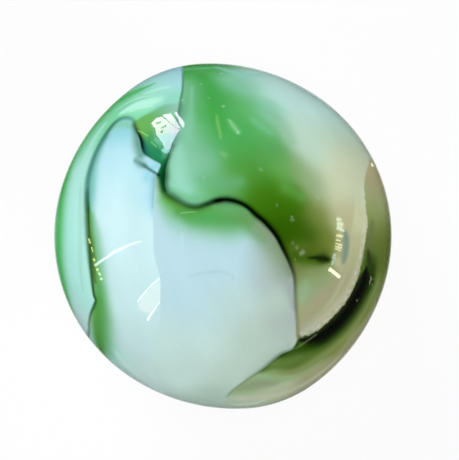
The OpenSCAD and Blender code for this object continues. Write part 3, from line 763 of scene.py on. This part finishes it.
# Each seed's place in mm east and north, its size in mm and its brightness from 0 to 1.
SEEDS = [(-0.1, 7.5, 0.14, 0.9), (-1.0, 7.0, 0.13, 0.35), (-0.65, 6.4, 0.11, 0.4),
         (-1.85, 6.25, 0.12, 0.7), (0.0, 6.0, 0.12, 0.7), (0.72, 4.75, 0.14, 0.6),
         (1.7, 3.1, 0.16, 0.35), (2.45, 1.45, 0.12, 0.3), (3.15, 0.9, 0.1, 0.6),
         (3.15, 0.75, 0.16, 0.4), (3.2, -0.35, 0.16, 0.3), (3.4, -0.5, 0.14, 0.35),
         (3.65, -0.75, 0.2, 0.6), (3.3, -1.05, 0.1, 0.4), (4.3, 0.1, 0.05, 0.6),
         (4.3, -0.05, 0.05, 0.5), (4.35, 1.75, 0.2, 0.25), (7.05, 3.35, 0.3, 0.9),
         (7.05, -2.0, 0.1, 0.4), (6.95, -2.3, 0.1, 0.4), (6.3, -2.95, 0.08, 0.25)]
SEED_ROWS = 1.1                 # mm from one fine seed to the next
SEED_DRAW = (0.4, 1.0, 1.0)     # rows of fine seeds are drawn out along the ball
FINE_SEED = 0.09                # how far a fine seed reaches, as a share of SEED_ROWS
FINE_SHOWS = (0.72, 0.95, 0.0, 0.22)    # chance from and to, and how bright a fine seed is there
SEED_SATURATION, SEED_BRIGHTNESS = 0.8, 1.35    # beside those of the glass round it
SEED_GLEAM = "#E8FCD8"          # the light that a seed catches
GLEAM_SHARE = 0.3               # of it in a seed's colour
WANDER = 0.4                    # mm, the size of the dents in a seed's outline
WANDER_BY = 0.35                # mm from the deepest dent to the tallest bulge
STIR = 1.8                      # mm from one stir mark to the next
STIR_DRAW = (0.2, 1.0, 1.0)     # stir marks are drawn out along the ball
STIR_TONE = (0.3, 0.7, 0.955, 1.045)    # noise from and to, and how bright the glass is there
DRAG = 0.5                      # mm from one drag mark to the next
DRAG_DRAW = (1.0, 0.08, 0.08)   # drag marks run round the ball
DRAG_HEIGHT = 0.05              # as a share of PUCKER_HEIGHT
POLISH = (0.3, 0.7, 0.015, 0.05)        # noise from and to, and how rough the skin is there
PUCKER = 0.22                   # mm from one pucker of the chilled edge to the next
PUCKER_HEIGHT = 0.02            # mm
PUCKER_SHOWS = 0.3              # how much of that height the light sees
RAGGED = 0.35                   # mm that the puckers push the chilled edge to and fro
CHILL_FROM, CHILL_FULL, CHILL_END = -0.45, -0.1, 0.05   # mm into the skirt, or out of it below 0
CHILL_LIP = (-0.05, 0.1)        # mm inside the lip, where the chill sets in
CHILLED = "#E4E8D8"             # glass whose skin is frosted over
CHILL_PALE = (0.35, 0.7, -0.15, 0.55)   # pucker from and to, and how frosted it is there
CHILL_ROUGH = 0.2               # how much rougher the chilled edge is
SEAM_FALL = 2.5                 # a power of 2 fades a seam like a bell, and more makes it crisper
NOISE_MIDDLE = 0.5              # of a noise that runs from 0 to 1
SODA_LIME_IOR = 1.5
UNDER, OVER, MIXED = 6, 7, 2    # a Mix node's numbers for its two colours and for what they make

melt = glass.node_tree
here = add(melt, "ShaderNodeTexCoord", out="Object")
pucker = add(melt, "ShaderNodeTexNoise", here, wires={"Scale": 1 / (PUCKER * MM), "Detail": 3.0})
in_lip = add(melt, "ShaderNodeAttribute", attribute_name="lip_edge", out="Fac")
in_lip = add(melt, "ShaderNodeMapRange", in_lip, *CHILL_LIP)
ragged = add(melt, "ShaderNodeMath", in_lip, RAGGED, operation="MULTIPLY")
ragged = add(melt, "ShaderNodeMath",
             add(melt, "ShaderNodeMath", pucker, NOISE_MIDDLE, operation="SUBTRACT"),
             ragged, operation="MULTIPLY")
colour = add(melt, "ShaderNodeAttribute", attribute_name="body_glass")
for fold, blur in EDGE_BLUR.items():
    inside_by = add(melt, "ShaderNodeAttribute", attribute_name=fold + "_edge", out="Fac")
    if fold == "skirt":
        inside_by = add(melt, "ShaderNodeMath", inside_by, ragged, operation="ADD")
    shown = add(melt, "ShaderNodeMapRange", inside_by, -blur, blur, interpolation_type="SMOOTHSTEP")
    fold_colour = add(melt, "ShaderNodeAttribute", attribute_name=fold + "_glass")
    colour = add(melt, "ShaderNodeMix", wires={0: shown, UNDER: colour, OVER: fold_colour},
                 out=MIXED, data_type="RGBA")
for seam, ink in SEAM_INK.items():
    # X is how far left of the seam, Y how dark it is, Z its fade to the left, Alpha to the right.
    drawn = add(melt, "ShaderNodeAttribute", attribute_name=seam + "_seam").node.outputs
    parts = add(melt, "ShaderNodeSeparateXYZ", drawn["Color"]).node.outputs
    to_left = add(melt, "ShaderNodeMath", parts["X"], parts["Z"], operation="DIVIDE")
    to_right = add(melt, "ShaderNodeMath", parts["X"], drawn["Alpha"], operation="DIVIDE")
    to_right = add(melt, "ShaderNodeMath", to_right, -1.0, operation="MULTIPLY")
    off = add(melt, "ShaderNodeMath", to_left, to_right, operation="MAXIMUM")
    fade = add(melt, "ShaderNodeMath", off, SEAM_FALL, operation="POWER")
    fade = add(melt, "ShaderNodeMath", fade, -1.0, operation="MULTIPLY")
    fade = add(melt, "ShaderNodeMath", fade, operation="EXPONENT")
    dark = add(melt, "ShaderNodeMath", fade, parts["Y"], operation="MULTIPLY", use_clamp=True)
    colour = add(melt, "ShaderNodeMix",
                 wires={0: dark, UNDER: colour, OVER: (*linear(ink), 1.0)}, out=MIXED,
                 data_type="RGBA", blend_type="MULTIPLY")

# Seeds: small bubbles that the glass was stirred with, and rows of finer ones wherever it flowed.
on_skin = add(melt, "ShaderNodeVectorMath", here, operation="NORMALIZE")
wander = add(melt, "ShaderNodeTexNoise", here, wires={"Scale": 1 / (WANDER * MM)}, out="Color")
wander = add(melt, "ShaderNodeVectorMath", wander, (NOISE_MIDDLE, NOISE_MIDDLE, NOISE_MIDDLE),
             operation="SUBTRACT")
wander = add(melt, "ShaderNodeVectorMath", wander, wires={"Scale": WANDER_BY / NOMINAL},
             operation="SCALE")
on_skin = add(melt, "ShaderNodeVectorMath", on_skin, wander, operation="ADD")
seeds = 0.0
for east, north, size, brightness in SEEDS:
    centre = on_ball((east, north)) / NOMINAL
    off = add(melt, "ShaderNodeVectorMath", on_skin, tuple(centre), operation="DISTANCE",
              out="Value")
    seed = add(melt, "ShaderNodeMapRange", off, size / NOMINAL, 0.0, 0.0, brightness,
               interpolation_type="SMOOTHSTEP")
    seeds = add(melt, "ShaderNodeMath", seed, seeds, operation="MAXIMUM")
rows = add(melt, "ShaderNodeVectorMath", here, SEED_DRAW, operation="MULTIPLY")
fizz = add(melt, "ShaderNodeTexVoronoi", rows, wires={"Scale": 1 / (SEED_ROWS * MM)}).node.outputs
fine = add(melt, "ShaderNodeMapRange", fizz["Distance"], FINE_SEED, 0.0,
           interpolation_type="SMOOTHSTEP")
chosen = add(melt, "ShaderNodeMapRange",
             add(melt, "ShaderNodeSeparateXYZ", fizz["Color"]), *FINE_SHOWS)
fine = add(melt, "ShaderNodeMath", fine, chosen, operation="MULTIPLY")
seeds = add(melt, "ShaderNodeMath", seeds, fine, operation="MAXIMUM")
# Painted highlight: each seed is drawn lighter and paler than the glass round it, with the light
# that it catches mixed in.
seed_glint = add(melt, "ShaderNodeHueSaturation", wires={
    "Saturation": SEED_SATURATION, "Value": SEED_BRIGHTNESS, "Color": colour})
seed_glint = add(melt, "ShaderNodeMix",
              wires={0: GLEAM_SHARE, UNDER: seed_glint, OVER: (*linear(SEED_GLEAM), 1.0)},
              out=MIXED, data_type="RGBA")
colour = add(melt, "ShaderNodeMix", wires={0: seeds, UNDER: colour, OVER: seed_glint}, out=MIXED,
             data_type="RGBA")

# The colours are stirred, never quite even: they run a little lighter and darker along the ball.
flow = add(melt, "ShaderNodeVectorMath", here, STIR_DRAW, operation="MULTIPLY")
stirred = add(melt, "ShaderNodeTexNoise", flow, wires={"Scale": 1 / (STIR * MM), "Detail": 4.0})
tone = add(melt, "ShaderNodeMapRange", stirred, *STIR_TONE)
colour = add(melt, "ShaderNodeHueSaturation", wires={"Value": tone, "Color": colour})

# The skin is fire-polished, with the faint drag marks of the rollers round it, and a chilled,
# finely puckered edge where the lip last closed.
drag = add(melt, "ShaderNodeVectorMath", here, DRAG_DRAW, operation="MULTIPLY")
drag = add(melt, "ShaderNodeTexNoise", drag, wires={"Scale": 1 / (DRAG * MM), "Detail": 2.0})
to_skirt = add(melt, "ShaderNodeAttribute", attribute_name="skirt_edge", out="Fac")
to_skirt = add(melt, "ShaderNodeMath", to_skirt, ragged, operation="ADD")
near_edge = add(melt, "ShaderNodeMapRange", to_skirt, CHILL_FROM, CHILL_FULL,
                interpolation_type="SMOOTHSTEP")
past_edge = add(melt, "ShaderNodeMapRange", to_skirt, CHILL_END, -CHILL_END)
chill = add(melt, "ShaderNodeMath", near_edge, past_edge, operation="MULTIPLY")
chill = add(melt, "ShaderNodeMath", chill, in_lip, operation="MULTIPLY")
pale = add(melt, "ShaderNodeMapRange", pucker, *CHILL_PALE)
pale = add(melt, "ShaderNodeMath", pale, chill, operation="MULTIPLY", use_clamp=True)
colour = add(melt, "ShaderNodeMix",
             wires={0: pale, UNDER: colour, OVER: (*linear(CHILLED), 1.0)}, out=MIXED,
             data_type="RGBA")
roughness = add(melt, "ShaderNodeMapRange", drag, *POLISH)
roughness = add(melt, "ShaderNodeMath", chill, CHILL_ROUGH, roughness, operation="MULTIPLY_ADD")
relief = add(melt, "ShaderNodeMath", pucker, chill, operation="MULTIPLY")
relief = add(melt, "ShaderNodeMath", drag, DRAG_HEIGHT, relief, operation="MULTIPLY_ADD")
relief = add(melt, "ShaderNodeBump", wires={
    "Strength": PUCKER_SHOWS, "Distance": PUCKER_HEIGHT * MM, "Height": relief})
skin = add(melt, "ShaderNodeBsdfPrincipled", wires={
    "Base Color": colour, "Roughness": roughness, "IOR": SODA_LIME_IOR, "Normal": relief})
add(melt, "ShaderNodeOutputMaterial", skin)

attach(ball, "root")
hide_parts("marble")

# ---------------------------------------------------------------------------------------------
# The studio: white paper on a table, soft lamps of which the strongest is north-west, black
# velvet, and the bright panes that the glass mirrors. Nothing here is part of the ball.
# ---------------------------------------------------------------------------------------------
TABLE_HALF = 1.0                # metres, half the table's width
FLOOR_SHADE = 0.1               # how much of the table's own lighting the camera sees
PAPER_GREY = 0.9                # nearly white, in linear light


def grey(shade):
    """A grey of the given linear shade, from black at 0 to white at 1."""
    return (shade, shade, shade, 1.0)


def lay_out(name, material, places, faces):
    """A thing of the studio, made from its corners in metres and its faces."""
    mesh = bpy.data.meshes.new(name)
    mesh.from_pydata(places, [], faces)
    mesh.materials.append(material)
    thing = bpy.data.objects.new(name, mesh)
    bpy.context.scene.collection.objects.link(thing)
    return thing


def square(height):
    """The corners of a sheet as wide as the table, lying at a height in metres."""
    ends = [(-1, -1), (1, -1), (1, 1), (-1, 1)]
    return [(x * TABLE_HALF, y * TABLE_HALF, height) for x, y in ends]


def only_mirrored(thing):
    """Hides a thing from all but the glass's mirror."""
    thing.visible_camera = False
    thing.visible_diffuse = False
    thing.visible_transmission = False
    thing.visible_shadow = False


paper = fresh_material("white_table_paper")
table_top = lay_out("table", paper, square(cad_box[0].z), [(0, 1, 2, 3)])
sheet = paper.node_tree
matt = add(sheet, "ShaderNodeBsdfDiffuse", grey(PAPER_GREY))
glow = add(sheet, "ShaderNodeEmission", grey(1.0), 1.0)
rays = add(sheet, "ShaderNodeLightPath").node.outputs
seen = add(sheet, "ShaderNodeMath", rays["Is Camera Ray"], rays["Is Glossy Ray"],
           operation="MAXIMUM")
seen = add(sheet, "ShaderNodeMath", seen, rays["Is Transmission Ray"], operation="MAXIMUM")
share = add(sheet, "ShaderNodeMath", seen, 1 - FLOOR_SHADE, operation="MULTIPLY")
add(sheet, "ShaderNodeOutputMaterial", add(sheet, "ShaderNodeMixShader", share, matt, glow))

ROOM_LIGHT = 0.2                # how bright the room is all round
room = bpy.data.worlds.new("soft_room")
bpy.context.scene.world = room
room.use_nodes = True
room.node_tree.nodes.clear()
add(room.node_tree, "ShaderNodeOutputWorld",
    add(room.node_tree, "ShaderNodeBackground", grey(1.0), ROOM_LIGHT))
room.cycles_visibility.glossy = False

# Black velvet lies round the ball, where only the glass's mirror looks, so that the rim of the
# ball keeps its colour.
VELVET_FROM, VELVET_FULL = 8.2, 11.0    # mm from the ball's middle
VELVET_LIFT = 0.2               # mm above the paper
VELVET_GREY = 0.03              # nearly black, in linear light
velvet = fresh_material("black_velvet")
nap = velvet.node_tree
on_cloth = add(nap, "ShaderNodeTexCoord", out="Object")
flat = add(nap, "ShaderNodeVectorMath", on_cloth, (1.0, 1.0, 0.0), operation="MULTIPLY")
from_middle = add(nap, "ShaderNodeVectorMath", flat, operation="LENGTH", out="Value")
cover = add(nap, "ShaderNodeMapRange", from_middle, VELVET_FROM * MM, VELVET_FULL * MM)
add(nap, "ShaderNodeOutputMaterial",
    add(nap, "ShaderNodeMixShader", cover, add(nap, "ShaderNodeBsdfTransparent"),
        add(nap, "ShaderNodeBsdfDiffuse", grey(VELVET_GREY))))
velvet_cloth = lay_out("black_velvet", velvet, square(cad_box[0].z + VELVET_LIFT * MM),
                       [(0, 1, 2, 3)])
only_mirrored(velvet_cloth)

LAMP_WIDTH = 0.3                # metres


def lamp(name, toward, level):
    """A soft square lamp, set toward (east, north, up) in metres, that lights a white card
    facing it at the ball to the given level. The glass doesn't mirror it."""
    data = bpy.data.lights.new(name, "AREA")
    data.shape = "SQUARE"
    data.size = LAMP_WIDTH
    light = bpy.data.objects.new(name, data)
    bpy.context.scene.collection.objects.link(light)
    back = Vector(toward[0] * east_way + toward[1] * north_way + toward[2] * up_way)
    light.location = back
    light.rotation_euler = back.to_track_quat("Z", "Y").to_euler()
    data.energy = level * math.pi**2 * back.length_squared
    light.visible_camera = False
    light.visible_glossy = False


lamp("key", (-0.25, 0.36, 0.36), 0.55)
lamp("overhead", (0.0, 0.0, 1.0), 0.235)
lamp("south_east_fill", (0.36, -0.26, 0.22), 0.4)
lamp("south_west_fill", (-0.38, -0.3, 0.2), 0.28)
lamp("north_east_fill", (0.4, 0.3, 0.04), 0.08)
lamp("south_fill", (0.25, -0.43, 0.03), 0.08)

# The camera looks straight down with the plan's north up, from a little north-east of the ball's
# middle, so that the ball lies just left of the view's middle and below it.
VIEW_HEIGHT = 0.2               # metres above the ball's middle
VIEW_EAST, VIEW_NORTH = 0.309, 0.285    # mm
LENS = 334.6                    # mm, which lets the ball fill three quarters of the view
NEAREST_SEEN = 0.01             # metres from the camera
eye = bpy.data.cameras.new("camera")
eye.lens = LENS
eye.clip_start = NEAREST_SEEN
camera = bpy.data.objects.new("camera", eye)
bpy.context.scene.collection.objects.link(camera)
camera.location = VIEW_EAST * MM * east_way + VIEW_NORTH * MM * north_way + VIEW_HEIGHT * up_way
camera.rotation_euler = (0.0, 0.0, math.radians(LIE))
bpy.context.scene.camera = camera
bpy.context.scene.view_settings.view_transform = "Standard"

# What the glass mirrors: a paned window to the north, a window with a blind to the east, a door
# ajar to the west, a lit card to the south-west, a shelf's edge to the south-east, and a few
# scratches and specks. Each pane is placed by following a look from the camera, mirrored where
# its glint lies on the ball, and only the glass sees it. By the ball's rim that look turns
# downward, so the specks' panes stand close, or they would lie under the table.
PANE_FAR = 40.0                 # mm from the glass
PANE_STEP = 2.0                 # mm between panes that lie over each other in the mirror
SPECK_FAR = 4.0                 # mm from the glass
NEIGHBOURS = 4                  # corners of the ball's skin that set how it faces at a spot
LEAST_OFF = 0.01                # mm, so that a corner right at the spot doesn't divide by nought
facing = np.empty_like(corners)
ball.data.vertices.foreach_get("normal", facing.ravel())


def strip(*knots):
    """The outline round a bent line of knots (east, north, width), in mm."""
    knots = np.array(knots)
    run = np.gradient(knots[:, :2], axis=0)
    out = np.stack([-run[:, 1], run[:, 0]], 1) / np.linalg.norm(run, axis=1)[:, None]
    out *= knots[:, 2:] / 2
    return [*(knots[:, :2] + out), *(knots[:, :2] - out)[::-1]]


def panes(name, tint, strength, *outlines, far=PANE_FAR):
    """Bright panes, each given by the outline of its glint on the ball in mm east and north."""
    light = fresh_material(name)
    add(light.node_tree, "ShaderNodeOutputMaterial",
        add(light.node_tree, "ShaderNodeEmission", (*linear(tint), 1.0), strength))
    places, faces = [], []
    for outline in outlines:
        for corner in outline:
            at = on_ball(corner)
            off = np.linalg.norm(spots - at, axis=1)
            near = np.argpartition(off, NEIGHBOURS)[:NEIGHBOURS]
            share = 1 / (off[near] + LEAST_OFF)
            touch = share @ corners[near] / share.sum()
            normal = share @ facing[near]
            normal /= np.linalg.norm(normal)
            to_eye = np.array(camera.location) - touch
            to_eye /= np.linalg.norm(to_eye)
            places.append(touch + (2 * normal @ to_eye * normal - to_eye) * far * MM)
        faces.append(range(len(places) - len(outline), len(places)))
    sheet = lay_out(name, light, places, faces)
    only_mirrored(sheet)


panes("window_panes", "#FFE8FF", 14.0,
      [(-3.3, 5.2), (-3.05, 5.45), (-2.8, 5.5), (-2.5, 5.25), (-2.2, 5.0), (-1.95, 4.9),
       (-2.1, 4.72), (-2.5, 4.72), (-3.05, 4.65), (-3.1, 4.95)],
      [(-2.78, 5.58), (-2.6, 5.62), (-2.4, 5.65), (-2.2, 5.4), (-2.05, 5.15), (-1.95, 4.95),
       (-2.15, 5.0), (-2.4, 5.2), (-2.6, 5.4)],
      [(-2.2, 5.7), (-2.12, 5.75), (-2.0, 5.55), (-1.9, 5.45), (-1.8, 5.25), (-1.75, 5.1),
       (-1.85, 5.0), (-1.97, 5.2), (-2.05, 5.4), (-2.15, 5.55)])
panes("lower_panes", "#DCE8FF", 14.0,
      [(-3.05, 4.65), (-2.5, 4.72), (-2.1, 4.72), (-2.25, 4.4), (-2.32, 4.25), (-2.55, 4.25),
       (-2.75, 4.25), (-2.9, 4.45)],
      [(-2.75, 4.27), (-2.55, 4.27), (-2.32, 4.27), (-2.38, 4.1), (-2.42, 3.95), (-2.52, 4.0),
       (-2.68, 4.0), (-2.7, 4.1)])
panes("window_foot", "#C0F8FF", 10.5,
      [(-2.68, 4.0), (-2.52, 4.0), (-2.42, 3.95), (-2.5, 3.82), (-2.6, 3.8), (-2.72, 3.85),
       (-2.8, 3.95), (-2.76, 4.05)])
panes("window_haze", "#D8ECFF", 1.5,
      [(-2.25, 5.78), (-1.7, 5.25), (-1.85, 4.8), (-2.38, 3.78), (-2.78, 3.75), (-3.1, 4.4),
       (-3.35, 5.15), (-2.75, 5.65)], far=PANE_FAR + PANE_STEP)
panes("window_sill", "#C8FF90", 6.0,
      strip((-3.92, 4.87, 0.04), (-3.65, 4.74, 0.07), (-3.42, 4.6, 0.04)),
      strip((-3.3, 4.37, 0.03), (-3.05, 4.1, 0.04)))
panes("leaves_outside", "#C8E8E0", 4.0,
      [(-3.1, 5.25), (-2.85, 5.3), (-2.85, 5.2), (-3.05, 5.15)],
      [(-2.85, 5.0), (-2.6, 5.15), (-2.6, 5.05), (-2.8, 4.95)],
      [(-2.9, 4.8), (-2.75, 4.9), (-2.75, 4.75), (-2.85, 4.75)], far=PANE_FAR - PANE_STEP)
panes("pale_blind", "#E8FFE8", 8.0,
      strip((5.24, 0.8, 0.14), (5.46, 0.74, 0.1)), strip((5.24, 0.6, 0.18), (5.54, 0.53, 0.14)),
      strip((5.24, 0.4, 0.2), (5.5, 0.34, 0.16)), strip((5.4, 0.3, 0.12), (5.62, 0.24, 0.08)))
panes("blind_haze", "#E8FFE8", 1.6,
      [(5.26, 0.95), (5.44, 0.9), (5.62, 0.55), (5.64, 0.2), (5.26, 0.3)],
      [(5.14, -0.95), (5.38, -1.0), (5.4, -1.3), (5.12, -1.35)], far=PANE_FAR + PANE_STEP)
panes("yellow_blind", "#FFFAC8", 9.0,
      strip((5.22, 0.06, 0.12), (5.52, -0.02, 0.14)), strip((5.2, -0.16, 0.07), (5.42, -0.21, 0.07)),
      strip((5.18, -0.32, 0.1), (5.5, -0.42, 0.1)),
      strip((5.16, -0.45, 0.08), (5.5, -0.56, 0.08)),
      strip((5.16, -0.57, 0.07), (5.44, -0.68, 0.07)))
panes("blue_blind", "#C8D8F0", 7.0,
      strip((5.16, -0.78, 0.14), (5.08, -1.06, 0.16)), strip((5.08, -1.1, 0.16), (5.03, -1.3, 0.1)))
panes("blind_foot", "#FFFBE0", 15.0, strip((4.88, -1.5, 0.2), (5.4, -1.9, 0.17)))
panes("door_edge", "#FFFFFF", 9.0,
      strip((-5.9, -1.36, 0.14), (-5.76, -1.26, 0.13), (-5.6, -1.12, 0.12), (-5.3, -0.94, 0.1),
            (-4.94, -0.7, 0.1), (-4.48, -0.48, 0.09)))
panes("door_edge_far", "#FFFFFF", 7.0,
      strip((-4.48, -0.48, 0.09), (-4.1, -0.32, 0.08), (-3.72, -0.22, 0.06)))
panes("door_light", "#F0FFA8", 10.0,
      strip((-6.2, -0.1, 0.08), (-6.12, -0.34, 0.08)),
      strip((-6.07, -0.5, 0.05), (-6.0, -0.72, 0.05)),
      strip((-5.96, -1.04, 0.1), (-5.91, -1.16, 0.1)),
      strip((-5.82, -1.48, 0.13), (-5.74, -1.6, 0.13)),
      strip((-5.72, -1.68, 0.12), (-5.64, -1.82, 0.13)),
      strip((-5.64, -1.9, 0.14), (-5.56, -2.02, 0.14)))
panes("card", "#FFD4B4", 3.4,
      [(-3.15, -2.25), (-2.85, -2.05), (-2.85, -2.95), (-3.2, -3.3), (-3.4, -3.6), (-3.7, -3.45),
       (-3.9, -3.25), (-3.85, -3.0), (-3.5, -2.6)])
panes("card_edges", "#F8FFFF", 9.0,
      strip((-2.86, -1.94, 0.06), (-3.22, -2.22, 0.08), (-3.56, -2.58, 0.08), (-3.92, -3.02, 0.06)),
      strip((-2.9, -3.04, 0.07), (-3.14, -3.36, 0.09), (-3.32, -3.64, 0.12), (-3.46, -3.88, 0.14)),
      far=PANE_FAR - PANE_STEP)
panes("fine_scratches", "#FFFFFF", 2.5,
      strip((-2.0, 0.98, 0.04), (-1.88, 0.28, 0.04), (-1.84, -0.36, 0.04), (-1.86, -0.98, 0.04)),
      strip((-1.92, 1.04, 0.05), (-1.54, 1.1, 0.05), (-1.18, 1.12, 0.04)))
panes("bright_specks", "#FFFFE0", 1.5,
      strip((6.98, 3.42, 0.1), (7.04, 3.26, 0.12)),
      strip((6.86, -1.86, 0.04), (6.92, -2.0, 0.07), (6.84, -2.14, 0.05), (6.86, -2.26, 0.04)),
      strip((6.2, -2.96, 0.06), (6.26, -3.02, 0.06)), far=SPECK_FAR)
panes("shelf_edge", "#D8F0B0", 1.5,
      strip((2.95, -5.36, 0.04), (3.3, -5.2, 0.06), (3.54, -5.07, 0.07), (3.94, -4.8, 0.08),
            (4.34, -4.52, 0.06)))
